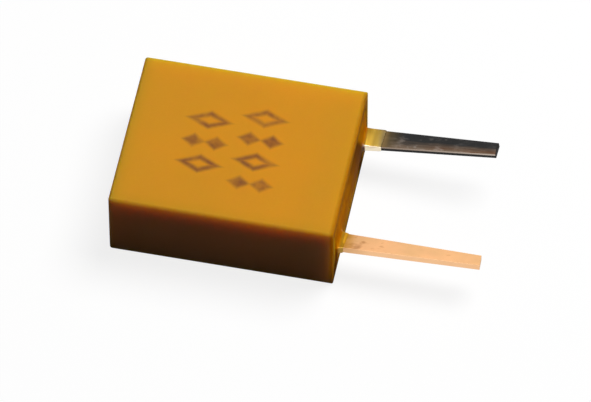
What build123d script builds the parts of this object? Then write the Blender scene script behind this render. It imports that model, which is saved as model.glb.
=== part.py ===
"""Two-lead ceramic resonator in a moulded box, lying on its broad face.

Frame: millimetres. The origin is the centre of the case's underside, +X runs
along the leads, +Y to the side of the far lead and +Z up.

A square piezoelectric plate is pinched at its middle between the dimples of
two spring terminals. The case is sized from that stack and from the lead
pitch: gaps and walls are added outwards until the outer faces are reached.
"""

import os
from math import cos, radians, tan

from build123d import *

os.makedirs("parts", exist_ok=True)

# ---------------------------------------------------------------- ceramic plate
ceramic_side = 4.8  # sets the resonant frequency
ceramic_thickness = 0.5
ceramic_side_gap = 0.2  # free air between the plate's edge and a guide rib

# ------------------------------------------------------- stamped spring terminal
strip_thickness = 0.25
spring_margin = 0.575  # reach of the spring plate past each end of the ceramic
spring_corner_radius = 0.3
dimple_height = 0.4
dimple_top_radius = 0.35
dimple_base_radius = 0.7
tongue_width = 1.9
tongue_slot_width = 0.25  # the U-shaped slot that frees the tongue
tongue_tip_reach = 1.05  # from the dimple's centre to the tongue's free end
tongue_root_reach = 1.75  # from the dimple's centre to the tongue's root
neck_length = 0.15  # flat strip between the spring plate and the jog
neck_fillet = 0.2
jog_run = 0.5  # length over which the strip climbs to the lead plane
jog_bend_radius = 0.28  # measured at mid-thickness
jog_to_plug = 0.25

# ------------------------------------------------------------------------ leads
lead_pitch = 5.14
lead_width = 0.82  # at the spring plate and through the resin
lead_tip_width = 0.55
lead_bend_length = 0.3  # from the rim outwards, where the resin's grip ends
lead_bend_steps = 4
far_lead_length = 5.42  # from the rim to the tip
far_lead_climb = 6.9  # degrees, up from the lead plane
far_lead_twist = 3.8  # degrees about its own length
far_tip_cut = 4.0  # degrees off square, with the outer edge the longer one
near_lead_length = 5.7
near_lead_climb = 1.5
near_lead_twist = -9.8
near_tip_cut = 2.5

# ------------------------------------------------------------------------- case
side_wall = 0.5
face_wall = 0.6
end_wall = 0.6
side_gap = 0.12  # between the cavity's side wall and the spring plate's edge
end_gap = 0.15  # between the closed end and the spring plate's edge
stack_play = 0.3  # between the upper spring plate and the cavity's ceiling
case_edge_radius = 0.12
rim_edge_radius = 0.06
rib_clearance = 0.05  # above and below a guide rib, to each spring plate
rib_setback = 0.3  # from the spring plate's front edge back to the rib's end

# ---------------------------------------------------------------- closing plug
plug_thickness = 0.6
plug_clearance = 0.04
ledge_width = 0.12  # step all round the mouth that the plug seats on
slot_clearance = 0.04
slot_lead_in = 0.08  # chamfer that guides a lead into its slot

# ------------------------------------------------------------------ resin seal
resin_depth = 0.8
resin_sink = 0.03  # resin level at the wall, below the rim
resin_crown = 0.05  # resin level at the middle, above the rim
resin_crown_inset = 0.7
far_sleeve_length = 0.85  # resin that has crept up the far lead, from the rim
near_sleeve_length = 0.35
sleeve_flare = 0.06  # resin thickness where a sleeve leaves the pool
sleeve_flare_length = 0.2
sleeve_flare_film = 0.035  # resin thickness where the flare has run out
sleeve_film = 0.025  # resin thickness at a sleeve's end

# -------------------------------------------------- sizes that follow from these
spring_length = ceramic_side + 2 * spring_margin
spring_width = lead_pitch + lead_width
stack_height = ceramic_thickness + 2 * (dimple_height + strip_thickness)

cavity_length = end_gap + spring_length + neck_length + jog_run + jog_to_plug
cavity_width = spring_width + 2 * side_gap
cavity_height = stack_height + stack_play
cavity_corner_radius = side_gap  # the floor is flat as far as the spring plate's edge
mouth_depth = plug_thickness + resin_depth
mouth_width = cavity_width + 2 * ledge_width
mouth_height = cavity_height + 2 * ledge_width
mouth_corner_radius = cavity_corner_radius + ledge_width

case_length = end_wall + cavity_length + mouth_depth
case_width = cavity_width + 2 * side_wall
case_height = cavity_height + 2 * face_wall

# Stations along X, from the closed end to the rim.
rim_x = case_length / 2
cavity_back_x = end_wall - rim_x
plug_top_x = rim_x - resin_depth
ledge_x = plug_top_x - plug_thickness
spring_back_x = cavity_back_x + end_gap
spring_front_x = spring_back_x + spring_length
dimple_x = (spring_back_x + spring_front_x) / 2

# Levels along Z, from the underside up. The stack stands on the cavity floor.
case_mid_z = case_height / 2
spring_bottom_z = face_wall
spring_mid_z = spring_bottom_z + strip_thickness / 2
spring_top_z = spring_bottom_z + strip_thickness
lead_plane_z = face_wall + stack_height / 2


# ---------------------------------------------------------------------------------
# Case: moulded box with walls all round and one open end. Its mouth is stepped
# for the plug, and a guide rib along each side wall keeps the spring plates apart.
# ---------------------------------------------------------------------------------
rib_height = stack_height - 2 * (strip_thickness + rib_clearance)
rib_depth = cavity_width / 2 - ceramic_side / 2 - ceramic_side_gap
rib_length = spring_front_x - rib_setback - cavity_back_x

with BuildPart() as case:
    with BuildSketch(Plane.XY):
        Rectangle(case_length, case_width)
    extrude(amount=case_height)
    rim_face = case.faces().sort_by(Axis.X)[-1]
    fillet(case.edges() - rim_face.edges(), case_edge_radius)
    fillet(case.faces().sort_by(Axis.X)[-1].edges(), rim_edge_radius)

    with BuildSketch(Plane.YZ.offset(rim_x)):
        with Locations((0, case_mid_z)):
            RectangleRounded(mouth_width, mouth_height, mouth_corner_radius)
    extrude(amount=-mouth_depth, mode=Mode.SUBTRACT)

    with BuildSketch(Plane.YZ.offset(ledge_x)):
        with Locations((0, case_mid_z)):
            RectangleRounded(cavity_width, cavity_height, cavity_corner_radius)
    extrude(amount=-cavity_length, mode=Mode.SUBTRACT)

    with BuildSketch(Plane.YZ.offset(cavity_back_x)):
        with Locations((cavity_width / 2, lead_plane_z)):
            Rectangle(rib_depth, rib_height, align=(Align.MAX, Align.CENTER))
        mirror(about=Plane.YZ)
    extrude(amount=rib_length)

case.part.label = "case"
export_step(case.part, "parts/case.step")


# ---------------------------------------------------------------------------------
# Ceramic plate: square, silvered on both broad faces, pinched at its still centre.
# ---------------------------------------------------------------------------------
with BuildPart() as ceramic_plate:
    with BuildSketch(Plane.XY.offset(lead_plane_z - ceramic_thickness / 2)):
        with Locations((dimple_x, 0)):
            Rectangle(ceramic_side, ceramic_side)
    extrude(amount=ceramic_thickness)

ceramic_plate.part.label = "ceramic_plate"
export_step(ceramic_plate.part, "parts/ceramic_plate.step")


# ---------------------------------------------------------------------------------
# Terminals: one stamping, used twice. The far one lies with its spring plate on the
# cavity floor, and the near one is the same piece turned over about the line
# through the middle of the stack. Each lead is bent by hand at the rim.
# ---------------------------------------------------------------------------------
def spring_stamping():
    """Spring plate, tongue, dimple, jog and lead, as far as the rim."""
    slot_mid_y = (tongue_width + tongue_slot_width) / 2
    slot_tip_x = dimple_x - tongue_tip_reach - tongue_slot_width / 2
    slot_root_x = dimple_x + tongue_root_reach

    with BuildPart() as stamping:
        # Side view of the strip: flat plate, jog, flat lead.
        with BuildSketch(Plane.XZ):
            with BuildLine():
                FilletPolyline(
                    (spring_back_x, spring_mid_z),
                    (spring_front_x + neck_length, spring_mid_z),
                    (spring_front_x + neck_length + jog_run, lead_plane_z),
                    (rim_x, lead_plane_z),
                    radius=jog_bend_radius,
                )
            trace(line_width=strip_thickness)
        extrude(amount=spring_width / 2, both=True)

        # Plan of the blank, seen from above.
        with BuildSketch(Plane.XY):
            with Locations((dimple_x, 0)):
                RectangleRounded(spring_length, spring_width, spring_corner_radius)
            with Locations((dimple_x, lead_pitch / 2)):
                Rectangle(rim_x - dimple_x, lead_width, align=(Align.MIN, Align.CENTER))
            neck_corner = (spring_front_x, (lead_pitch - lead_width) / 2)
            fillet(vertices().sort_by_distance(neck_corner)[0], neck_fillet)
            with BuildLine():
                FilletPolyline(
                    (slot_root_x, slot_mid_y),
                    (slot_tip_x, slot_mid_y),
                    (slot_tip_x, -slot_mid_y),
                    (slot_root_x, -slot_mid_y),
                    radius=tongue_slot_width,
                )
            trace(line_width=tongue_slot_width, mode=Mode.SUBTRACT)
            with Locations((slot_root_x, slot_mid_y), (slot_root_x, -slot_mid_y)):
                Circle(tongue_slot_width / 2, mode=Mode.SUBTRACT)
        extrude(amount=case_height, mode=Mode.INTERSECT)

        # The dimple is drawn out of the sheet, so it is hollow behind.
        with Locations((dimple_x, 0, spring_top_z)):
            Cone(
                dimple_base_radius,
                dimple_top_radius,
                dimple_height,
                align=(Align.CENTER, Align.CENTER, Align.MIN),
            )
        with Locations((dimple_x, 0, spring_bottom_z)):
            Cone(
                dimple_base_radius,
                dimple_top_radius,
                dimple_height,
                align=(Align.CENTER, Align.CENTER, Align.MIN),
                mode=Mode.SUBTRACT,
            )
    return stamping.part


def plane_across_lead(x, climb, twist, tip_cut=0):
    """Plane square to a lead at station x. Climb and twist build up evenly over the bend,
    and a tip cut swings the plane about the lead's thickness."""
    past_rim = max(x - rim_x, 0)
    share = min(past_rim / lead_bend_length, 1)
    rise = tan(radians(climb)) * (past_rim - lead_bend_length * share * (1 - share / 2))
    upright = Plane((x, lead_pitch / 2, lead_plane_z + rise), x_dir=(0, 1, 0), z_dir=(1, 0, 0))
    return upright.rotated((-tip_cut, twist * share, -climb * share), ordering=Extrinsic.ZXY)


def free_lead(length, climb, twist, tip_cut):
    """Bent, twisted and tapering lead, from the rim to its tip."""
    taper = (lead_width - lead_tip_width) / length
    bend = []
    for step in range(lead_bend_steps + 1):
        past_rim = lead_bend_length * step / lead_bend_steps
        with BuildSketch(plane_across_lead(rim_x + past_rim, climb, twist)) as section:
            Rectangle(lead_width - taper * past_rim, strip_thickness)
        bend.append(section.sketch)
    with BuildSketch(plane_across_lead(rim_x + length, climb, twist, tip_cut)) as tip:
        Rectangle(lead_tip_width / cos(radians(tip_cut)), strip_thickness)

    with BuildPart() as lead:
        loft(bend, ruled=True)
        loft([bend[-1], tip.sketch])
    return lead.part


with BuildPart() as terminal_far:
    add(spring_stamping())
    add(free_lead(far_lead_length, far_lead_climb, far_lead_twist, far_tip_cut))

terminal_far.part.label = "terminal_far"
export_step(terminal_far.part, "parts/terminal_far.step")

turn_line = Axis((0, 0, lead_plane_z), (1, 0, 0))
with BuildPart() as terminal_near:
    add(spring_stamping())
    add(free_lead(near_lead_length, -near_lead_climb, near_lead_twist, near_tip_cut))

terminal_near.part = terminal_near.part.rotate(turn_line, 180)
terminal_near.part.label = "terminal_near"
export_step(terminal_near.part, "parts/terminal_near.step")


# ---------------------------------------------------------------------------------
# Closing plug: punched insulating plate that seats on the ledge in the mouth. The
# leads pass through its two slots.
# ---------------------------------------------------------------------------------
with BuildPart() as base_plug:
    with BuildSketch(Plane.YZ.offset(ledge_x)):
        with Locations((0, case_mid_z)):
            RectangleRounded(
                mouth_width - 2 * plug_clearance,
                mouth_height - 2 * plug_clearance,
                mouth_corner_radius - plug_clearance,
            )
        with Locations((lead_pitch / 2, lead_plane_z), (-lead_pitch / 2, lead_plane_z)):
            Rectangle(
                lead_width + 2 * slot_clearance,
                strip_thickness + 2 * slot_clearance,
                mode=Mode.SUBTRACT,
            )
    extrude(amount=plug_thickness)
    inner_face = base_plug.faces().sort_by(Axis.X)[0]
    chamfer(inner_face.inner_wires().edges(), slot_lead_in)

base_plug.part.label = "base_plug"
export_step(base_plug.part, "parts/base_plug.step")


# ---------------------------------------------------------------------------------
# Resin seal: epoxy poured onto the plug. It fills the mouth with a low crown and
# creeps up each lead as a thin sleeve.
# ---------------------------------------------------------------------------------
resin_wall_x = rim_x - resin_sink
resin_crown_x = rim_x + resin_crown


def film_thickness(past_rim, length):
    """Resin on a lead: it thins quickly along the flare, then slowly to the sleeve's end."""
    if past_rim < sleeve_flare_length:
        share = (past_rim + resin_sink) / (sleeve_flare_length + resin_sink)
        return sleeve_flare + (sleeve_flare_film - sleeve_flare) * share
    share = (past_rim - sleeve_flare_length) / (length - sleeve_flare_length)
    return sleeve_flare_film + (sleeve_film - sleeve_flare_film) * share


def sleeve(length, lead_length, climb, twist):
    """Film of resin round a lead, thickest at the pool. It follows the lead's bend."""
    taper = (lead_width - lead_tip_width) / lead_length
    turns = sorted({sleeve_flare_length, lead_bend_length})
    sections = []
    for past_rim in (-resin_sink, *(turn for turn in turns if turn < length), length):
        film = film_thickness(past_rim, length)
        width = lead_width - taper * max(past_rim, 0)
        with BuildSketch(plane_across_lead(rim_x + past_rim, climb, twist)) as section:
            RectangleRounded(width + 2 * film, strip_thickness + 2 * film, film)
        sections.append(section.sketch)
    with BuildPart() as film_round_lead:
        loft(sections, ruled=True)
    return film_round_lead.part


with BuildPart() as resin_seal:
    with BuildSketch(Plane.YZ.offset(plug_top_x)):
        with Locations((0, case_mid_z)):
            RectangleRounded(mouth_width, mouth_height, mouth_corner_radius)
    extrude(amount=resin_wall_x - plug_top_x)

    for x, inset in ((resin_wall_x, 0), (resin_crown_x, resin_crown_inset)):
        with BuildSketch(Plane.YZ.offset(x)):
            with Locations((0, case_mid_z)):
                RectangleRounded(
                    mouth_width - 2 * inset, mouth_height - 2 * inset, mouth_corner_radius
                )
    loft()

    add(sleeve(far_sleeve_length, far_lead_length, far_lead_climb, far_lead_twist))
    near_sleeve = sleeve(near_sleeve_length, near_lead_length, -near_lead_climb, near_lead_twist)
    add(near_sleeve.rotate(turn_line, 180))

    add(terminal_far.part, mode=Mode.SUBTRACT)
    add(terminal_near.part, mode=Mode.SUBTRACT)

resin_seal.part.label = "resin_seal"
export_step(resin_seal.part, "parts/resin_seal.step")
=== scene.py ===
"""Two-lead ceramic resonator, lying on its broad face with its leads to +X.

The sections follow the part as it is put together: ceramic plate, terminals, case with its
ink marks, closing plug and resin seal. The studio comes last. All sizes are in metres, and
the far lead is the one on the +Y side.
"""

import math

import bpy
import numpy as np
from mathutils import Matrix, Vector


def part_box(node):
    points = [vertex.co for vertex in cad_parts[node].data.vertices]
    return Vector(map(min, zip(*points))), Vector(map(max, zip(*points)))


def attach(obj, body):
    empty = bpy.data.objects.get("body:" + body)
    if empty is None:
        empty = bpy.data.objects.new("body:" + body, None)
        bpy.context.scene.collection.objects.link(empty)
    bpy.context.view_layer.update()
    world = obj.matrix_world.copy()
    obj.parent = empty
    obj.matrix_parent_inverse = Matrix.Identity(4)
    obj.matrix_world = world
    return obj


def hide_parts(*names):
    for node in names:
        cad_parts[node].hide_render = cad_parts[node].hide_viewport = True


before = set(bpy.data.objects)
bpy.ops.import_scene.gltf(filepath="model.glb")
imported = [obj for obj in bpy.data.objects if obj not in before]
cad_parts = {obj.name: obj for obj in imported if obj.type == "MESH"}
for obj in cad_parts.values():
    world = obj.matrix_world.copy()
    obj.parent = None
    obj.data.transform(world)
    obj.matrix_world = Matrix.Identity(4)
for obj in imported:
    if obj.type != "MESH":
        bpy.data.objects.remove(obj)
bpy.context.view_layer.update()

mm = 0.001

# ---------------------------------------------------------------------------------
# Ceramic plate: a square of lead zirconate titanate, pressed, fired and lapped flat.
# Silver paste is fired on to both broad faces, so they are matt metal, and its four
# sawn edges show the grey-buff ceramic. It is sealed inside the case.
# ---------------------------------------------------------------------------------
silver_thickness = 0.015 * mm
silver_metal = 0.9
silver_cloud = 0.4 * mm
silver_dull = "#C9C6BF"
silver_light = "#DAD8D2"
# The real grains are a few thousandths of a millimetre wide, too fine to show in the
# render, so they are drawn as coarse as they need to be.
ceramic_grain = 0.02 * mm
ceramic_relief = 0.004 * mm
ceramic_dark = "#8F8674"
ceramic_pale = "#A39A86"
# A range is written as the inputs of a map range: while a value goes from 1 to 2, the
# result goes from 3 to 4. A pair that isn't given is 0 and 1.
silver_roughness = {1: 0.3, 2: 0.7, 3: 0.42, 4: 0.58}
# Settings that many nodes share: a mix of two colours, and a range with smooth ends.
of_colours = {"output": 2, "data_type": "RGBA"}
smooth = {"interpolation_type": "SMOOTHSTEP"}


def linear(colour):
    """An sRGB hex colour as linear RGBA. Each channel is divided by 12.92 up to 0.04045,
    and above that 0.055 is added, the sum divided by 1.055 and raised to the power 2.4."""
    channels = np.array([int(colour[i : i + 2], 16) for i in (1, 3, 5)]) / 255
    lit = np.where(channels <= 0.04045, channels / 12.92, ((channels + 0.055) / 1.055) ** 2.4)
    return (*lit.tolist(), 1.0)


def connect(tree, node, inputs):
    """Gives a node's inputs their values: numbers, hex colours or other nodes' outputs.
    Inputs go by name, or by number on the kinds whose names repeat. A mix has its share at
    0, two numbers at 2 and 3, and two colours at 6 and 7."""
    for name, value in inputs.items():
        if isinstance(value, bpy.types.NodeSocket):
            tree.links.new(value, node.inputs[name])
        else:
            node.inputs[name].default_value = linear(value) if isinstance(value, str) else value


def add_node(tree, kind, inputs, output=0, **settings):
    """Adds one shader node with its settings and its inputs, and gives one of its outputs."""
    node = tree.nodes.new("ShaderNode" + kind)
    for name, value in settings.items():
        setattr(node, name, value)
    connect(tree, node, inputs)
    return node.outputs[output]


def new_finish(name):
    """A material with one Principled shader, and the piece's Object coordinates."""
    material = bpy.data.materials.new(name)
    material.use_nodes = True
    tree = material.node_tree
    return material, tree, tree.nodes["Principled BSDF"], add_node(tree, "TexCoord", {}, "Object")


def off_place(tree, value, place):
    """How far a value lies from a place, on either side."""
    past = add_node(tree, "Math", {0: value, 1: place}, operation="SUBTRACT")
    return add_node(tree, "Math", {0: past}, operation="ABSOLUTE")


def finish_node(name, material):
    """Gives a CAD node its material."""
    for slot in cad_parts[name].material_slots:
        slot.material = material


def silvered_ceramic():
    """Fired silver: matt, a little cloudy, and slightly grained by the ceramic under it. It
    is wherever a point lies within the silver's thickness of a broad face. The ceramic's
    own sawn edges are dull grey-buff."""
    material, tree, shader, place = new_finish("fired_silver_on_pzt_ceramic")
    low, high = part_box("ceramic_plate")
    middle, half = (low.z + high.z) / 2, (high.z - low.z) / 2
    height = add_node(tree, "SeparateXYZ", {0: place}, "Z")
    off_middle = off_place(tree, height, middle)
    silvered = add_node(
        tree, "Math", {0: off_middle, 1: half - silver_thickness}, operation="GREATER_THAN"
    )
    clouds = add_node(tree, "TexNoise", {"Vector": place, "Scale": 1 / silver_cloud})
    grain = add_node(tree, "TexNoise", {"Vector": place, "Scale": 1 / ceramic_grain})
    silver = add_node(tree, "Mix", {0: clouds, 6: silver_dull, 7: silver_light}, **of_colours)
    ceramic = add_node(tree, "Mix", {0: grain, 6: ceramic_dark, 7: ceramic_pale}, **of_colours)
    skin = add_node(tree, "Mix", {0: silvered, 6: ceramic, 7: silver}, **of_colours)
    metallic = add_node(tree, "Math", {0: silvered, 1: silver_metal}, operation="MULTIPLY")
    roughness = add_node(tree, "MapRange", {0: clouds, **silver_roughness})
    relief = add_node(tree, "Bump", {"Height": grain, "Distance": ceramic_relief})
    connect(
        tree,
        shader,
        {"Base Color": skin, "Metallic": metallic, "Roughness": roughness, "Normal": relief},
    )
    return material


finish_node("ceramic_plate", silvered_ceramic())

# ---------------------------------------------------------------------------------
# Terminals: two stampings of rolled copper alloy strip, each bent a little by hand at the
# rim. The near one has kept its bright copper skin, with a few flux stains. The far one
# is painted near black, a painted dark reflection that fades lighter towards its near edge.
# ---------------------------------------------------------------------------------
lead_pitch = 5.14 * mm
lead_width = 0.82 * mm
lead_tip_width = 0.55 * mm
strip_thickness = 0.25 * mm
lead_bend_length = 0.3 * mm
# How far each lead climbs and twists at its bend. The far one is +1 and the near one -1.
lead_bends = {
    +1: (math.radians(6.9), math.radians(3.8)),
    -1: (math.radians(1.5), math.radians(-9.8)),
}
lead_plane = (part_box("terminal_far")[0].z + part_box("terminal_near")[1].z) / 2
rim_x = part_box("case")[1].x
lead_lengths = {
    +1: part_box("terminal_far")[1].x - rim_x,
    -1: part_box("terminal_near")[1].x - rim_x,
}
# A point is on the sheared side towards -Y past this share of the lead's half width.
sheared_side = -0.97

# The near lead's finish. Places along a lead are counted from the middle of its bend.
copper_cloud = 0.8 * mm
copper_cloud_stretch = 1.5
copper_clouding = {1: 0.38, 2: 0.62}
copper_dull = "#C4996B"
copper_light = "#CB9C6F"
flux_stain = 0.28 * mm
flux_stain_stretch = 1.8
flux_crowding = {1: 0.1 * mm, 2: 1.3 * mm, 3: 0.16, 4: 0.0}
flux_staining = {1: 0.62, 2: 0.82, 3: 0.0, 4: 0.75}
flux_brown = "#946A40"
near_creep = {1: 0.2 * mm, 2: 0.65 * mm, 3: 0.6, 4: 0.0}
near_creep_gold = "#AC7E1C"
near_side_clearing = {1: 0.4 * mm, 2: 1.2 * mm}
near_side_root = "#E2B280"
near_side_clear = "#F7C797"
# Real rolling streaks are a few thousandths of a millimetre wide, too fine to show in the
# render, so they are drawn as coarse as they need to be.
rolling_streak = 0.03 * mm
rolling_stretch = 20
rolling_relief = 0.0012 * mm
copper_roughness = {1: 0.3, 2: 0.8, 3: 0.45, 4: 0.58}

# The far lead's finish.
far_strip_streak = 0.12 * mm
far_strip_stretch = 9
far_strip_relief = 0.0015 * mm
dark_reflection_sway = {1: 0.25, 2: 0.75, 3: -0.4, 4: 0.4}
dark_reflection_fading = {1: -1.15, 2: 0.25, 3: 1.0, 4: 0.0}
# The face's near black, fading to brown-grey towards the near edge, is painted dark reflection.
dark_reflection_black = "#2F2F2F"
dark_reflection_fade = "#6E5D4E"
brown_half = {1: 2.0 * mm, 2: 3.2 * mm}
brown_patching = {1: 0.4, 2: 0.62, 3: 0.0, 4: 0.8}
oxide_brown = "#663C1E"
scuff_size = 0.2 * mm
scuff_stretch = 2.2
scuffing = {1: 0.5, 2: 0.68, 3: 0.0, 4: 0.7}
handled_place = 2.3 * mm
off_handled = {1: 0.2 * mm, 2: 1.7 * mm, 3: 1.0, 4: 0.25}
scuffs_by_fade = {3: 0.3, 4: 1.0}
scuff_grey = "#958C85"
far_stain = {1: 0.75 * mm, 2: 1.6 * mm, 3: 0.65, 4: 0.0}
far_stain_brown = "#5E4E30"
far_creep = {1: 0.68 * mm, 2: 1.0 * mm, 3: 0.95, 4: 0.0}
far_creep_gold = "#7A6440"
far_side_start = 1.0 * mm
# The sheared side's pale colour is a painted bright reflection, paler towards the tip.
far_side_reflection_root = "#927F6F"
far_side_reflection_tip = "#BBADA0"
# A painted shadow line, near black, along the sheared side's lower corner, up to this height.
shadow_line_height = 0.165 * mm
painted_shadow_line_black = "#121110"
# The tip's end is painted near black, a painted dark reflection.
sheared_end = 0.03 * mm
end_dark_reflection_black = "#2A2928"
sheared_end_roughness = 0.5
far_strip_roughness = {1: 0.3, 2: 0.8, 3: 0.22, 4: 0.4}


def lead_place(tree, place, side):
    """A point on the lead's own axes, past its bend: along it, across its width and through
    it. The origin is where the lead's straight line, run back, meets its line inside the
    resin, which is the middle of the bend."""
    climb, twist = lead_bends[side]
    origin = (rim_x + lead_bend_length / 2, side * lead_pitch / 2, lead_plane)
    return add_node(
        tree,
        "Mapping",
        {"Vector": place, "Location": origin, "Rotation": (twist, -climb, 0)},
        vector_type="TEXTURE",
    )


def lead_share(tree, along, across, side):
    """A point's distance off the lead's middle over half the width there, which narrows
    evenly from the rim to the tip."""
    half_width = add_node(
        tree,
        "MapRange",
        {0: along, 1: 0, 2: lead_lengths[side], 3: lead_width / 2, 4: lead_tip_width / 2},
    )
    return add_node(tree, "Math", {0: across, 1: half_width}, operation="DIVIDE")


def bright_copper():
    """Rolled copper alloy: soft pink-gold metal with fine streaks along the strip. Brown
    flux stains crowd near the resin, which has crept on to the root as a golden tint. The
    sheared side is paler, and clearer away from the root."""
    material, tree, shader, place = new_finish("bright_rolled_copper_strip")
    own = lead_place(tree, place, -1)
    along, across = (add_node(tree, "SeparateXYZ", {0: own}, axis) for axis in "XY")
    smear = add_node(tree, "Mapping", {"Vector": own, "Scale": (1 / flux_stain_stretch, 1, 1)})
    stains = add_node(tree, "TexNoise", {"Vector": smear, "Scale": 1 / flux_stain, "Detail": 3.0})
    drift = add_node(tree, "Mapping", {"Vector": own, "Scale": (1 / copper_cloud_stretch, 1, 1)})
    clouds = add_node(tree, "TexNoise", {"Vector": drift, "Scale": 1 / copper_cloud, "Detail": 1.0})
    cloudy = add_node(tree, "MapRange", {0: clouds, **copper_clouding})
    skin = add_node(tree, "Mix", {0: cloudy, 6: copper_dull, 7: copper_light}, **of_colours)
    near_resin = add_node(tree, "MapRange", {0: along, **flux_crowding}, **smooth)
    crowded = add_node(tree, "Math", {0: stains, 1: near_resin}, operation="ADD")
    stained = add_node(tree, "MapRange", {0: crowded, **flux_staining}, **smooth)
    skin = add_node(tree, "Mix", {0: stained, 6: skin, 7: flux_brown}, **of_colours)
    crept = add_node(tree, "MapRange", {0: along, **near_creep}, **smooth)
    skin = add_node(tree, "Mix", {0: crept, 6: skin, 7: near_creep_gold}, **of_colours)
    share = lead_share(tree, along, across, -1)
    on_side = add_node(tree, "Math", {0: share, 1: sheared_side}, operation="LESS_THAN")
    clear = add_node(tree, "MapRange", {0: along, **near_side_clearing})
    side = add_node(tree, "Mix", {0: clear, 6: near_side_root, 7: near_side_clear}, **of_colours)
    skin = add_node(tree, "Mix", {0: on_side, 6: skin, 7: side}, **of_colours)
    rolled = add_node(tree, "Mapping", {"Vector": own, "Scale": (1 / rolling_stretch, 1, 1)})
    streaks = add_node(tree, "TexNoise", {"Vector": rolled, "Scale": 1 / rolling_streak})
    roughness = add_node(tree, "MapRange", {0: stains, **copper_roughness})
    relief = add_node(tree, "Bump", {"Height": streaks, "Distance": rolling_relief})
    connect(
        tree,
        shader,
        {"Base Color": skin, "Metallic": 1.0, "Roughness": roughness, "Normal": relief},
    )
    return material


def darkly_reflecting_copper():
    """Copper alloy painted near black, a painted dark reflection, fading to brown-grey towards
    the near edge, with brown patches on the outer half, and scuffs that are lightest where it
    has been handled. Crept resin tints it by the sleeve. The sheared side is a painted bright
    reflection above, with a painted shadow line along its lower corner, and the tip's end is
    painted near black as well, a painted dark reflection."""
    material, tree, shader, place = new_finish("copper_strip_painted_dark_reflection")
    own = lead_place(tree, place, +1)
    along, across, through = (add_node(tree, "SeparateXYZ", {0: own}, axis) for axis in "XYZ")
    length = lead_lengths[+1]
    share = lead_share(tree, along, across, +1)
    drawn = add_node(tree, "Mapping", {"Vector": own, "Scale": (1 / far_strip_stretch, 1, 1)})
    streaks = add_node(
        tree, "TexNoise", {"Vector": drawn, "Scale": 1 / far_strip_streak, "Detail": 3.0}
    )
    sway = add_node(tree, "MapRange", {0: streaks, **dark_reflection_sway})
    wander = add_node(tree, "Math", {0: share, 1: sway}, operation="ADD")
    # Painted dark reflection: near black, fading to brown-grey towards the near edge.
    thin = add_node(tree, "MapRange", {0: wander, **dark_reflection_fading}, **smooth)
    face = add_node(tree, "Mix", {0: thin, 6: dark_reflection_black, 7: dark_reflection_fade}, **of_colours)
    outer = add_node(tree, "MapRange", {0: along, **brown_half}, **smooth)
    patches = add_node(tree, "MapRange", {0: streaks, **brown_patching})
    patches = add_node(tree, "Math", {0: patches, 1: outer}, operation="MULTIPLY")
    patches = add_node(tree, "Math", {0: patches, 1: thin}, operation="MULTIPLY")
    face = add_node(tree, "Mix", {0: patches, 6: face, 7: oxide_brown}, **of_colours)
    dragged = add_node(tree, "Mapping", {"Vector": own, "Scale": (1 / scuff_stretch, 1, 1)})
    scuffs = add_node(
        tree,
        "TexNoise",
        {"Vector": dragged, "Scale": 1 / scuff_size, "Detail": 4.0, "Roughness": 0.6},
    )
    scuffed = add_node(tree, "MapRange", {0: scuffs, **scuffing}, **smooth)
    from_handled = off_place(tree, along, handled_place)
    handled = add_node(tree, "MapRange", {0: from_handled, **off_handled}, **smooth)
    scuffed = add_node(tree, "Math", {0: scuffed, 1: handled}, operation="MULTIPLY")
    by_fade = add_node(tree, "MapRange", {0: thin, **scuffs_by_fade})
    scuffed = add_node(tree, "Math", {0: scuffed, 1: by_fade}, operation="MULTIPLY")
    face = add_node(tree, "Mix", {0: scuffed, 6: face, 7: scuff_grey}, **of_colours)
    near_resin = add_node(tree, "MapRange", {0: along, **far_stain}, **smooth)
    face = add_node(tree, "Mix", {0: near_resin, 6: face, 7: far_stain_brown}, **of_colours)
    crept = add_node(tree, "MapRange", {0: along, **far_creep}, **smooth)
    face = add_node(tree, "Mix", {0: crept, 6: face, 7: far_creep_gold}, **of_colours)

    # The sheared side: a painted bright reflection.
    towards_tip = add_node(tree, "MapRange", {0: along, 1: far_side_start, 2: length})
    side = add_node(tree, "Mix", {0: towards_tip, 6: far_side_reflection_root, 7: far_side_reflection_tip}, **of_colours)
    # A painted shadow line along the side's lower corner.
    shadow_line_top = shadow_line_height - strip_thickness / 2
    in_shadow_line = add_node(tree, "Math", {0: through, 1: shadow_line_top}, operation="LESS_THAN")
    side = add_node(tree, "Mix", {0: in_shadow_line, 6: side, 7: painted_shadow_line_black}, **of_colours)
    on_side = add_node(tree, "Math", {0: share, 1: sheared_side}, operation="LESS_THAN")
    skin = add_node(tree, "Mix", {0: on_side, 6: face, 7: side}, **of_colours)
    # The tip's end: painted near black, a painted dark reflection.
    end_start = length - lead_bend_length / 2 - sheared_end
    at_end = add_node(tree, "Math", {0: along, 1: end_start}, operation="GREATER_THAN")
    skin = add_node(tree, "Mix", {0: at_end, 6: skin, 7: end_dark_reflection_black}, **of_colours)

    rubbed = add_node(tree, "MapRange", {0: scuffs, **far_strip_roughness})
    torn = add_node(tree, "Math", {0: at_end, 1: sheared_end_roughness}, operation="MULTIPLY")
    roughness = add_node(tree, "Math", {0: rubbed, 1: torn}, operation="ADD")
    relief = add_node(tree, "Bump", {"Height": streaks, "Distance": far_strip_relief})
    connect(
        tree,
        shader,
        {"Base Color": skin, "Metallic": 1.0, "Roughness": roughness, "Normal": relief},
    )
    return material


finish_node("terminal_near", bright_copper())
finish_node("terminal_far", darkly_reflecting_copper())

# ---------------------------------------------------------------------------------
# Case: one moulding of amber thermoplastic, slightly translucent, so its thin edges
# glow. The tool leaves a satin skin with a very fine grain. The marks are stamped on
# the broad face in thin brown ink, worn and uneven.
# ---------------------------------------------------------------------------------
case_low, case_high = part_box("case")
flow_cloud = 3.0 * mm
flow_drift = {1: case_low.x, 2: case_high.x, 3: -0.3, 4: 0.3}
flow_warming = {1: 0.2, 2: 0.8}
amber_cool = "#DD951C"
amber_warm = "#E9961A"
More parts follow.
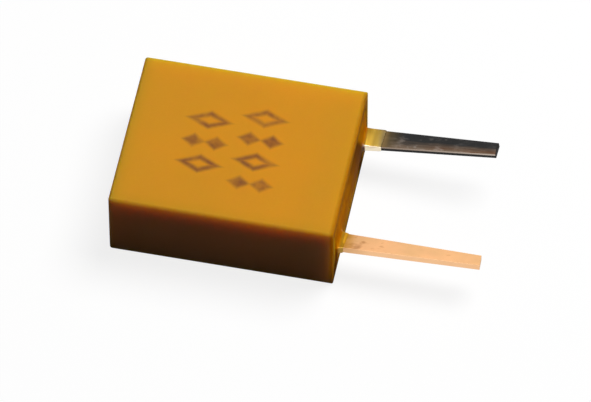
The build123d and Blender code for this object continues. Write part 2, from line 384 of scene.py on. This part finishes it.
# The real grain of the tool's satin is about a third of this, too fine to show in the
# render, so it is drawn as coarse as it needs to be.
satin_grain = 0.045 * mm
satin_relief = 0.002 * mm
satin_speckling = {1: 0.3, 2: 0.7, 3: 0.0, 4: 0.06}
satin_speck = "#A86C0A"
satin_roughness = {1: 0.3, 2: 0.7, 3: 0.58, 4: 0.68}
# The rim is rough, and painted darker: painted shade of a rounder edge.
rim_shade_width = 0.22 * mm
rim_shading = {1: case_high.x - rim_shade_width, 2: case_high.x, 3: 0.0, 4: 0.9}
rim_painted_shade = "#A86000"
rim_roughness = 1.0
# The rim's painted shade is darkest at the far corner.
far_corner_shading = {1: 1.8 * mm, 2: case_high.y}
far_corner_painted_shade = "#7E5410"
top_edge_height = 0.12 * mm
face_gloss = 0.05
wall_gloss = {1: case_high.z - top_edge_height, 2: case_high.z, 3: 0.28, 4: face_gloss}
amber_light_reach = 2.0 * mm
amber_light_colours = (1.0, 0.76, 0.1)

mark_height = 1.75 * mm
mark_width = 0.85 * mm
mark_pitch = 1.08 * mm
mark_stroke = 0.22 * mm
full_width = 0.62 * mm
full_offset = 0.45 * mm
# Each row of marks: its middle along X and Y, and its lozenges in order along Y.
mark_rows = (
    (-1.35 * mm, -0.1 * mm, ("open", "full pair", "open")),
    (0.8 * mm, -0.15 * mm, ("full pair", "open", "full pair", "open")),
)
ink_edge = {1: -0.11 * mm, 2: 0.11 * mm, 3: 1.0, 4: 0.0}
ink_depth = 0.02 * mm
ink_patch = 0.6 * mm
ink_wear = {1: 0.35, 2: 0.62, 3: 0.5, 4: 0.9}
ink_brown = "#7C4A2C"


def ink_marks(tree, x, y):
    """How far each point lies outside the ink of the nearest mark, negative inside. A
    point's spread is its distance off a lozenge's middle along Y plus the one along X times
    width over height, so it is half the width all round the edge. An open lozenge is a line
    just inside its edge. A full pair stands off the middle on both sides along X."""
    half_width = mark_width / 2
    slope = mark_width / mark_height
    full_slope = full_width / (mark_height - 2 * full_offset)
    nearest = None
    for row_x, row_y, shapes in mark_rows:
        off_row = off_place(tree, x, row_x)
        off_pair = off_place(tree, off_row, full_offset)
        for index, shape in enumerate(shapes):
            off_y = off_place(tree, y, row_y + mark_pitch * (index - (len(shapes) - 1) / 2))
            off_x, leaning = (off_row, slope) if shape == "open" else (off_pair, full_slope)
            scaled = add_node(tree, "Math", {0: off_x, 1: leaning}, operation="MULTIPLY")
            spread = add_node(tree, "Math", {0: scaled, 1: off_y}, operation="ADD")
            if shape == "open":
                off_line = off_place(tree, spread, half_width - mark_stroke / 2)
                edge = mark_stroke / 2
            else:
                off_line, edge = spread, full_width / 2
            past = add_node(tree, "Math", {0: off_line, 1: edge}, operation="SUBTRACT")
            square_on = 1 / math.hypot(1, leaning)
            past = add_node(tree, "Math", {0: past, 1: square_on}, operation="MULTIPLY")
            if nearest is not None:
                past = add_node(tree, "Math", {0: nearest, 1: past}, operation="MINIMUM")
            nearest = past
    return nearest


def amber_moulding():
    """Amber plastic that light soaks into, so its edges glow. Low clouds shift its hue a
    little, it is glossier below its top edge than on the broad face above, and its rim is
    rough and carries painted shade, darkest at the far corner. The ink lies on that face alone."""
    material, tree, shader, place = new_finish("satin_moulded_amber_thermoplastic")
    x, y, z = (add_node(tree, "SeparateXYZ", {0: place}, axis) for axis in "XYZ")
    clouds = add_node(tree, "TexNoise", {"Vector": place, "Scale": 1 / flow_cloud, "Detail": 1.0})
    drift = add_node(tree, "MapRange", {0: x, **flow_drift})
    warmth = add_node(tree, "Math", {0: clouds, 1: drift}, operation="ADD")
    warmth = add_node(tree, "MapRange", {0: warmth, **flow_warming})
    amber = add_node(tree, "Mix", {0: warmth, 6: amber_cool, 7: amber_warm}, **of_colours)
    grain = add_node(tree, "TexNoise", {"Vector": place, "Scale": 1 / satin_grain})
    speckle = add_node(tree, "MapRange", {0: grain, **satin_speckling})
    amber = add_node(tree, "Mix", {0: speckle, 6: amber, 7: satin_speck}, **of_colours)
    # Painted shade along the rim, darkest at the far corner.
    by_rim = add_node(tree, "MapRange", {0: x, **rim_shading}, **smooth)
    by_corner = add_node(tree, "MapRange", {0: y, **far_corner_shading}, **smooth)
    rim_shade = add_node(tree, "Mix", {0: by_corner, 6: rim_painted_shade, 7: far_corner_painted_shade}, **of_colours)
    amber = add_node(tree, "Mix", {0: by_rim, 6: amber, 7: rim_shade}, **of_colours)

    in_mark = add_node(tree, "MapRange", {0: ink_marks(tree, x, y), **ink_edge}, **smooth)
    on_top = add_node(tree, "Math", {0: z, 1: case_high.z - ink_depth}, operation="GREATER_THAN")
    wear = add_node(tree, "TexNoise", {"Vector": place, "Scale": 1 / ink_patch})
    wear = add_node(tree, "MapRange", {0: wear, **ink_wear})
    inked = add_node(tree, "Math", {0: in_mark, 1: on_top}, operation="MULTIPLY")
    inked = add_node(tree, "Math", {0: inked, 1: wear}, operation="MULTIPLY")
    skin = add_node(tree, "Mix", {0: inked, 6: amber, 7: ink_brown}, **of_colours)

    satin = add_node(tree, "MapRange", {0: grain, **satin_roughness})
    roughness = add_node(tree, "Mix", {0: by_rim, 2: satin, 3: rim_roughness})
    gloss = add_node(tree, "MapRange", {0: z, **wall_gloss})
    gloss = add_node(tree, "Mix", {0: by_rim, 2: gloss, 3: face_gloss})
    relief = add_node(tree, "Bump", {"Height": grain, "Distance": satin_relief})
    connect(
        tree,
        shader,
        {
            "Base Color": skin,
            "Roughness": roughness,
            "Normal": relief,
            "Specular IOR Level": gloss,
            "Subsurface Weight": 1.0,
            "Subsurface Radius": amber_light_colours,
            "Subsurface Scale": amber_light_reach,
        },
    )
    return material


finish_node("case", amber_moulding())

# ---------------------------------------------------------------------------------
# Closing plug: punched from phenolic sheet, brown and matt, with a faint paper weave.
# It lies under the resin, which hides it.
# ---------------------------------------------------------------------------------
paper_fibre = 0.05 * mm
paper_fibre_stretch = 5
paper_relief = 0.004 * mm
paper_paling = {1: 0.3, 2: 0.7}
phenolic_dark = "#5A3218"
phenolic_pale = "#7A4A26"
phenolic_roughness = {1: 0.3, 2: 0.7, 3: 0.5, 4: 0.65}


def punched_phenolic():
    """Brown phenolic sheet: matt, with short paler paper fibres that all lie one way."""
    material, tree, shader, place = new_finish("punched_phenolic_sheet")
    laid = add_node(tree, "Mapping", {"Vector": place, "Scale": (1, 1 / paper_fibre_stretch, 1)})
    fibres = add_node(tree, "TexNoise", {"Vector": laid, "Scale": 1 / paper_fibre, "Detail": 3.0})
    pale = add_node(tree, "MapRange", {0: fibres, **paper_paling})
    skin = add_node(tree, "Mix", {0: pale, 6: phenolic_dark, 7: phenolic_pale}, **of_colours)
    roughness = add_node(tree, "MapRange", {0: fibres, **phenolic_roughness})
    relief = add_node(tree, "Bump", {"Height": fibres, "Distance": paper_relief})
    connect(tree, shader, {"Base Color": skin, "Roughness": roughness, "Normal": relief})
    return material


finish_node("base_plug", punched_phenolic())

# ---------------------------------------------------------------------------------
# Resin seal: golden epoxy poured on to the plug. It wets the case's wall, crowns a
# little in the middle, and has crept up each lead as a thin sleeve, far up the far one.
# ---------------------------------------------------------------------------------
resin_low, resin_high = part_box("resin_seal")
wall_overlap = 0.004 * mm
mouth_corner = 0.24 * mm
wall_sink = 0.03 * mm
wall_reach = 0.25 * mm
crown_rise = 0.05 * mm
far_sleeve = resin_high.x - rim_x
near_sleeve = 0.35 * mm
sleeve_film = 0.03 * mm
sleeve_steepness = 6
sleeve_slant = 0.06
root_rise = 0.1 * mm
root_reach = 0.12 * mm
grip_reach = 0.3 * mm
# The surface's grid is even, with closer lines this far outside each edge of a lead.
field_step = 0.1 * mm
line_offsets = np.array([-0.03, 0, 0.015, 0.03, 0.045, 0.06, 0.08, 0.11, 0.16, 0.24, 0.34]) * mm

pool_cloud = 0.5 * mm
pool_clouding = {1: 0.35, 2: 0.65}
pool_brown = "#B46400"
pool_gold = "#C87A00"
# The pool carries a painted shadow of the far lead: darker towards that lead and clear
# past it, on lines that lean by this much along Y for each step up.
lead_shadow_lean = 0.55
lead_shadow_start = {1: -1.0 * mm, 2: 2.1 * mm}
lead_shadow_end = {1: 2.05 * mm, 2: 2.35 * mm, 3: 1.0, 4: 0.0}
lead_shadow_brown = "#693800"
pool_to_sleeve = {1: 0.04 * mm, 2: 0.18 * mm}
near_gold = "#9E7618"
# The far sleeve's root is painted darker: painted shade against the light its meniscus catches.
far_root_shade = {1: 0.2 * mm, 2: 0.45 * mm}
far_root_shaded_gold = "#967626"
far_gold = "#C4A03E"
sleeve_thinning = {1: 0.3, 2: 0.95}
near_bare = "#A87818"
# The far lead's tone under the thinned film carries its painted dark reflection.
far_bare = "#493D24"
# A sleeve's side towards -Y is what lies past the lead's own side, and this far inside it.
side_margin = 0.01 * mm
# Both sides are painted lighter than the shade they lie in: painted light on the near one, a
# painted highlight on the far one.
near_side_painted_light = "#D4AC50"
far_side_painted_glint = "#F8EACD"
pool_haze = {1: 0.3, 2: 0.7}
epoxy_roughness_spread = 0.1
epoxy_gloss = 0.02
epoxy_scatter = 0.4
epoxy_light_reach = 0.3 * mm
epoxy_light_colours = (1.0, 0.55, 0.05)

# How far past the rim the film over metal starts on each lead. It starts sooner on the
# near lead's sides, on the faces whose middles lie in this band about the side.
far_film_start = 0.15 * mm
near_film_start = 0.25 * mm
near_side_film_start = 0.06 * mm
side_band = (-0.02 * mm, 0.05 * mm)


def grid_lines(low, high, edges):
    """Even lines from low to high, with closer ones at the offsets outside each edge. An edge
    is its place and the side, +1 or -1, that is outside. Close lines stay a quarter of a
    step inside both ends, and an even line within a third of a step of one is left out."""
    even = np.linspace(low, high, round((high - low) / field_step) + 1)
    close = np.concatenate([place + side * line_offsets for place, side in edges])
    close = close[(close > low + field_step / 4) & (close < high - field_step / 4)]
    kept = [e for e in even[1:-1] if np.abs(close - e).min() > field_step / 3]
    return np.unique(np.concatenate([even[[0, -1]], kept, close]).round(9))


def resin_surface():
    """A height field over the mouth. The height is the rim, less a dip at the wall that
    fades inwards, plus a low crown. Round each lead it adds a meniscus that falls off
    with distance from the lead, and a sleeve that falls from its full length to nothing
    where that distance passes the film's thickness. Points beyond the rim then follow
    the lead: they climb and turn with its bend by a share that fades away from it."""
    half_y = resin_high.y + wall_overlap
    middle_z = (resin_low.z + resin_high.z) / 2
    half_z = (resin_high.z - resin_low.z) / 2 + wall_overlap
    lead_y, lead_half, strip_half = lead_pitch / 2, lead_width / 2, strip_thickness / 2
    y_edges = [(s * lead_y + t * lead_half, t) for s in (-1, 1) for t in (-1, 1)]
    z_edges = [(lead_plane + t * strip_half, t) for t in (-1, 1)]
    y_lines = grid_lines(-half_y, half_y, y_edges)
    z_lines = grid_lines(middle_z - half_z, middle_z + half_z, z_edges)
    y, z = np.meshgrid(y_lines, z_lines, indexing="ij")

    # The grid's corners are drawn in to the mouth's rounded ones.
    into_y = np.clip((np.abs(y) - half_y + mouth_corner) / mouth_corner, 0, 1)
    into_z = np.clip((np.abs(z - middle_z) - half_z + mouth_corner) / mouth_corner, 0, 1)
    round_y = np.sign(y) * np.where(
        into_y > 0, half_y - mouth_corner * (1 - into_y * np.sqrt(1 - into_z**2 / 2)), np.abs(y)
    )
    round_z = np.sign(z - middle_z) * np.where(
        into_z > 0,
        half_z - mouth_corner * (1 - into_z * np.sqrt(1 - into_y**2 / 2)),
        np.abs(z - middle_z),
    )

    to_wall = np.minimum(half_y - np.abs(round_y), half_z - np.abs(round_z))
    height = rim_x - wall_sink * np.exp(-to_wall / wall_reach)
    height += crown_rise * (1 - (round_y / half_y) ** 4) * (1 - (round_z / half_z) ** 2)

    def from_lead(lead):
        """How far each point lies off the lead's middle along Y and Z, and outside it."""
        off_y = round_y - lead * lead_y
        off_z = round_z + middle_z - lead_plane
        past_y, past_z = np.abs(off_y) - lead_half, np.abs(off_z) - strip_half
        return off_y, off_z, np.hypot(np.maximum(past_y, 0), np.maximum(past_z, 0))

    for lead, sleeve in ((1, far_sleeve), (-1, near_sleeve)):
        off_y, off_z, away = from_lead(lead)
        height += root_rise * np.exp(-away / root_reach)
        slanted = sleeve * (1 + sleeve_slant * off_y / lead_half)
        in_film = 1 / (1 + (away / sleeve_film) ** sleeve_steepness)
        height += (slanted - root_rise - crown_rise) * in_film

    along_y, along_z = round_y.copy(), round_z + middle_z
    for lead, (climb, twist) in lead_bends.items():
        off_y, off_z, away = from_lead(lead)
        past_rim = np.maximum(height - rim_x, 0)
        share = np.minimum(past_rim / lead_bend_length, 1)
        grip = np.exp(-((away / grip_reach) ** 2))
        turn = twist * share * grip
        rise = np.tan(climb) * (past_rim - lead_bend_length * share * (1 - share / 2)) * grip
        along_y += off_y * (np.cos(turn) - 1) - off_z * np.sin(turn)
        along_z += off_z * (np.cos(turn) - 1) + off_y * np.sin(turn) + rise
    return height, along_y, along_z


def closed_field(name, height, y, z, back):
    """A mesh of the height field's front, a flat back under it and walls between them."""
    rows, columns = height.shape
    front = np.stack([height, y, z], -1).reshape(-1, 3)
    rear = np.stack([np.full_like(height, back), y, z], -1).reshape(-1, 3)
    index = np.arange(rows * columns).reshape(rows, columns)
    cells = np.stack(
        [index[:-1, :-1], index[1:, :-1], index[1:, 1:], index[:-1, 1:]], -1
    ).reshape(-1, 4)
    ring = np.concatenate([index[:-1, 0], index[-1, :-1], index[:0:-1, -1], index[0, :0:-1]])
    after = np.roll(ring, -1)
    behind = rows * columns
    walls = np.stack([ring, ring + behind, after + behind, after], -1)
    faces = np.concatenate([cells, cells[:, ::-1] + behind, walls])
    mesh = bpy.data.meshes.new(name)
    mesh.from_pydata(np.concatenate([front, rear]).tolist(), [], faces.tolist())
    mesh.validate()
    mesh.shade_smooth()
    piece = bpy.data.objects.new(name, mesh)
    bpy.context.scene.collection.objects.link(piece)
    return piece


def golden_epoxy(name, metal_shows, lowest_roughness):
    """Cast epoxy: brown-amber in the pool, with a painted shadow of the far lead on it, golden
    where it thins on the leads, with painted shade at the far sleeve's root, until the strip's
    own tone takes over. The sleeves' sides towards -Y are painted lighter: painted light on the
    near one and a painted highlight on the far one. The strip's metal shows through the film on
    a sleeve by the share given, and twice as much through it on the far lead's bright sheared
    side."""
    material, tree, shader, place = new_finish(name)
    x, y, z = (add_node(tree, "SeparateXYZ", {0: place}, axis) for axis in "XYZ")
    clouds = add_node(tree, "TexNoise", {"Vector": place, "Scale": 1 / pool_cloud})
    cloudy = add_node(tree, "MapRange", {0: clouds, **pool_clouding})
    pool = add_node(tree, "Mix", {0: cloudy, 6: pool_brown, 7: pool_gold}, **of_colours)
    # A painted shadow of the far lead on the pool, on leaning lines.
    above_lead = add_node(tree, "Math", {0: z, 1: lead_plane}, operation="SUBTRACT")
    lean = add_node(tree, "Math", {0: above_lead, 1: lead_shadow_lean}, operation="MULTIPLY")
    leaning_y = add_node(tree, "Math", {0: y, 1: lean}, operation="ADD")
    by_far_lead = add_node(tree, "MapRange", {0: leaning_y, **lead_shadow_start}, **smooth)
    not_past_it = add_node(tree, "MapRange", {0: leaning_y, **lead_shadow_end}, **smooth)
    in_lead_shadow = add_node(tree, "Math", {0: by_far_lead, 1: not_past_it}, operation="MULTIPLY")
    pool = add_node(tree, "Mix", {0: in_lead_shadow, 6: pool, 7: lead_shadow_brown}, **of_colours)

    on_far = add_node(tree, "Math", {0: y, 1: 0.0}, operation="GREATER_THAN")
    past_rim = add_node(tree, "Math", {0: x, 1: rim_x}, operation="SUBTRACT")
    off_root = add_node(tree, "MapRange", {0: past_rim, **far_root_shade}, **smooth)
    golden = add_node(tree, "Mix", {0: off_root, 6: far_root_shaded_gold, 7: far_gold}, **of_colours)
    golden = add_node(tree, "Mix", {0: on_far, 6: near_gold, 7: golden}, **of_colours)
    bare = add_node(tree, "Mix", {0: on_far, 6: near_bare, 7: far_bare}, **of_colours)
    sleeve_length = add_node(tree, "MapRange", {0: on_far, 3: near_sleeve, 4: far_sleeve})
    thinning = add_node(tree, "Math", {0: past_rim, 1: sleeve_length}, operation="DIVIDE")
    thinned = add_node(tree, "MapRange", {0: thinning, **sleeve_thinning}, **smooth)
    sleeve = add_node(tree, "Mix", {0: thinned, 6: golden, 7: bare}, **of_colours)
    across_far, across_near = (
        add_node(tree, "SeparateXYZ", {0: lead_place(tree, place, side)}, "Y") for side in (+1, -1)
    )
    across = add_node(tree, "MapRange", {0: on_far, 3: across_near, 4: across_far})
    side_start = side_margin - lead_width / 2
    on_side = add_node(tree, "Math", {0: across, 1: side_start}, operation="LESS_THAN")
    # The sides towards -Y: painted light on the near sleeve, a painted highlight on the far one.
    side = add_node(tree, "Mix", {0: on_far, 6: near_side_painted_light, 7: far_side_painted_glint}, **of_colours)
    sleeve = add_node(tree, "Mix", {0: on_side, 6: sleeve, 7: side}, **of_colours)
    off_pool = add_node(tree, "MapRange", {0: past_rim, **pool_to_sleeve}, **smooth)
    skin = add_node(tree, "Mix", {0: off_pool, 6: pool, 7: sleeve}, **of_colours)

    on_bright_side = add_node(tree, "Math", {0: on_side, 1: on_far}, operation="MULTIPLY")
    metallic = add_node(tree, "MapRange", {0: on_bright_side, 3: metal_shows, 4: 2 * metal_shows})
    highest_roughness = lowest_roughness + epoxy_roughness_spread
    roughness = add_node(
        tree, "MapRange", {0: clouds, **pool_haze, 3: lowest_roughness, 4: highest_roughness}
    )
    connect(
        tree,
        shader,
        {
            "Base Color": skin,
            "Metallic": metallic,
            "Roughness": roughness,
            "Specular IOR Level": epoxy_gloss,
            "Subsurface Weight": epoxy_scatter,
            "Subsurface Radius": epoxy_light_colours,
            "Subsurface Scale": epoxy_light_reach,
        },
    )
    return material


resin = closed_field("resin_pour", *resin_surface(), resin_low.x - wall_overlap)
resin.data.materials.append(
    golden_epoxy("cast_golden_epoxy", metal_shows=0.0, lowest_roughness=0.7)
)
resin.data.materials.append(
    golden_epoxy("thin_golden_epoxy_over_copper", metal_shows=0.5, lowest_roughness=0.3)
)
centres = np.empty(3 * len(resin.data.polygons))
resin.data.polygons.foreach_get("center", centres)
centre_x, centre_y = centres[::3], centres[1::3]
off_side = np.abs(np.abs(centre_y) - lead_pitch / 2) - lead_width / 2
by_side = (off_side > side_band[0]) & (off_side < side_band[1])
film_start = np.where(centre_y > 0, far_film_start, near_film_start)
film_start[by_side & (centre_y < 0)] = near_side_film_start
in_film = (centre_x > rim_x + film_start).astype(np.int32)
resin.data.polygons.foreach_set("material_index", in_film)
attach(resin, "root")
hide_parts("resin_seal")

# ---------------------------------------------------------------------------------
# Studio: a white floor that keeps a soft shadow, one large key lamp above and behind
# on the far lead's side, and a weak even fill.
# ---------------------------------------------------------------------------------
white = "#FFFFFF"
floor_size = 1.0
floor_bounce = "#5C4A42"
shadow_keep = 0.16
fill_level = 0.015
key_direction = Vector((0.33, 0.34, 0.88)).normalized()
key_distance = 0.35
key_size = 0.22
key_level = 1.025

camera_turn = math.radians(11.49)
camera_height = math.radians(54.01)
camera_roll = math.radians(-0.18)
camera_distance = 320.7 * mm
camera_lens = 491.9
camera_sensor = 36
camera_nearest = 10 * mm
camera_furthest = 2.0
aim_right = 2.237 * mm
aim_up = -0.263 * mm


def seen_directly(tree):
    """1 for camera, glossy and transmission rays, which see the white background."""
    camera, glossy, through = (
        add_node(tree, "LightPath", {}, f"Is {ray} Ray")
        for ray in ("Camera", "Glossy", "Transmission")
    )
    either = add_node(tree, "Math", {0: camera, 1: glossy}, operation="MAXIMUM")
    return add_node(tree, "Math", {0: either, 1: through}, operation="MAXIMUM")


def white_floor():
    """White to the eye, with a share of the lamp's shading kept. Its bounce on the object
    is that of warm brown card."""
    material = bpy.data.materials.new("white_paper_floor")
    material.use_nodes = True
    tree = material.node_tree
    lit = add_node(tree, "BsdfDiffuse", {"Color": white})
    even = add_node(tree, "Emission", {"Color": white, "Strength": 1.0})
    shown = add_node(tree, "MixShader", {0: shadow_keep, 1: even, 2: lit})
    card = add_node(tree, "BsdfDiffuse", {"Color": floor_bounce})
    both = add_node(tree, "MixShader", {0: seen_directly(tree), 1: card, 2: shown})
    connect(tree, tree.nodes["Material Output"], {"Surface": both})
    return material


floor_mesh = bpy.data.meshes.new("floor")
reach = floor_size / 2
floor_mesh.from_pydata(
    [(-reach, -reach, 0), (reach, -reach, 0), (reach, reach, 0), (-reach, reach, 0)],
    [],
    [(0, 1, 2, 3)],
)
floor = bpy.data.objects.new("floor", floor_mesh)
bpy.context.scene.collection.objects.link(floor)
floor.data.materials.append(white_floor())

world = bpy.data.worlds.new("studio_air")
world.use_nodes = True
bpy.context.scene.world = world
sky = world.node_tree
fill = add_node(sky, "Background", {"Color": white, "Strength": fill_level})
backdrop = add_node(sky, "Background", {"Color": white, "Strength": 1.0})
air = add_node(sky, "MixShader", {0: seen_directly(sky), 1: fill, 2: backdrop})
connect(sky, sky.nodes["World Output"], {"Surface": air})

# An area lamp of power P, a distance d away, lights a white surface that faces it to
# P / (pi d)**2 as a share of white. The floor lies at a slant to it.
lamp = bpy.data.lights.new("key", "AREA")
lamp.shape = "DISK"
lamp.size = key_size
lamp.energy = key_level * (math.pi * key_distance) ** 2 / key_direction.z
key = bpy.data.objects.new("key", lamp)
key.location = key_direction * key_distance
key.rotation_mode = "QUATERNION"
key.rotation_quaternion = key_direction.to_track_quat("Z", "Y")
bpy.context.scene.collection.objects.link(key)

camera_data = bpy.data.cameras.new("camera")
camera_data.lens = camera_lens
camera_data.sensor_width = camera_sensor
camera_data.clip_start = camera_nearest
camera_data.clip_end = camera_furthest
camera = bpy.data.objects.new("camera", camera_data)
bpy.context.scene.collection.objects.link(camera)
bpy.context.scene.camera = camera

back = Vector(
    (
        math.sin(camera_turn) * math.cos(camera_height),
        -math.cos(camera_turn) * math.cos(camera_height),
        math.sin(camera_height),
    )
)
level_right = Vector((0, 0, 1)).cross(back).normalized()
level_up = back.cross(level_right)
right = level_right * math.cos(camera_roll) + level_up * math.sin(camera_roll)
up = level_up * math.cos(camera_roll) - level_right * math.sin(camera_roll)
camera.matrix_world = Matrix.Translation(
    back * camera_distance + right * aim_right + up * aim_up
) @ Matrix((right, up, back)).transposed().to_4x4()

view = bpy.context.scene.view_settings
view.view_transform = "Standard"
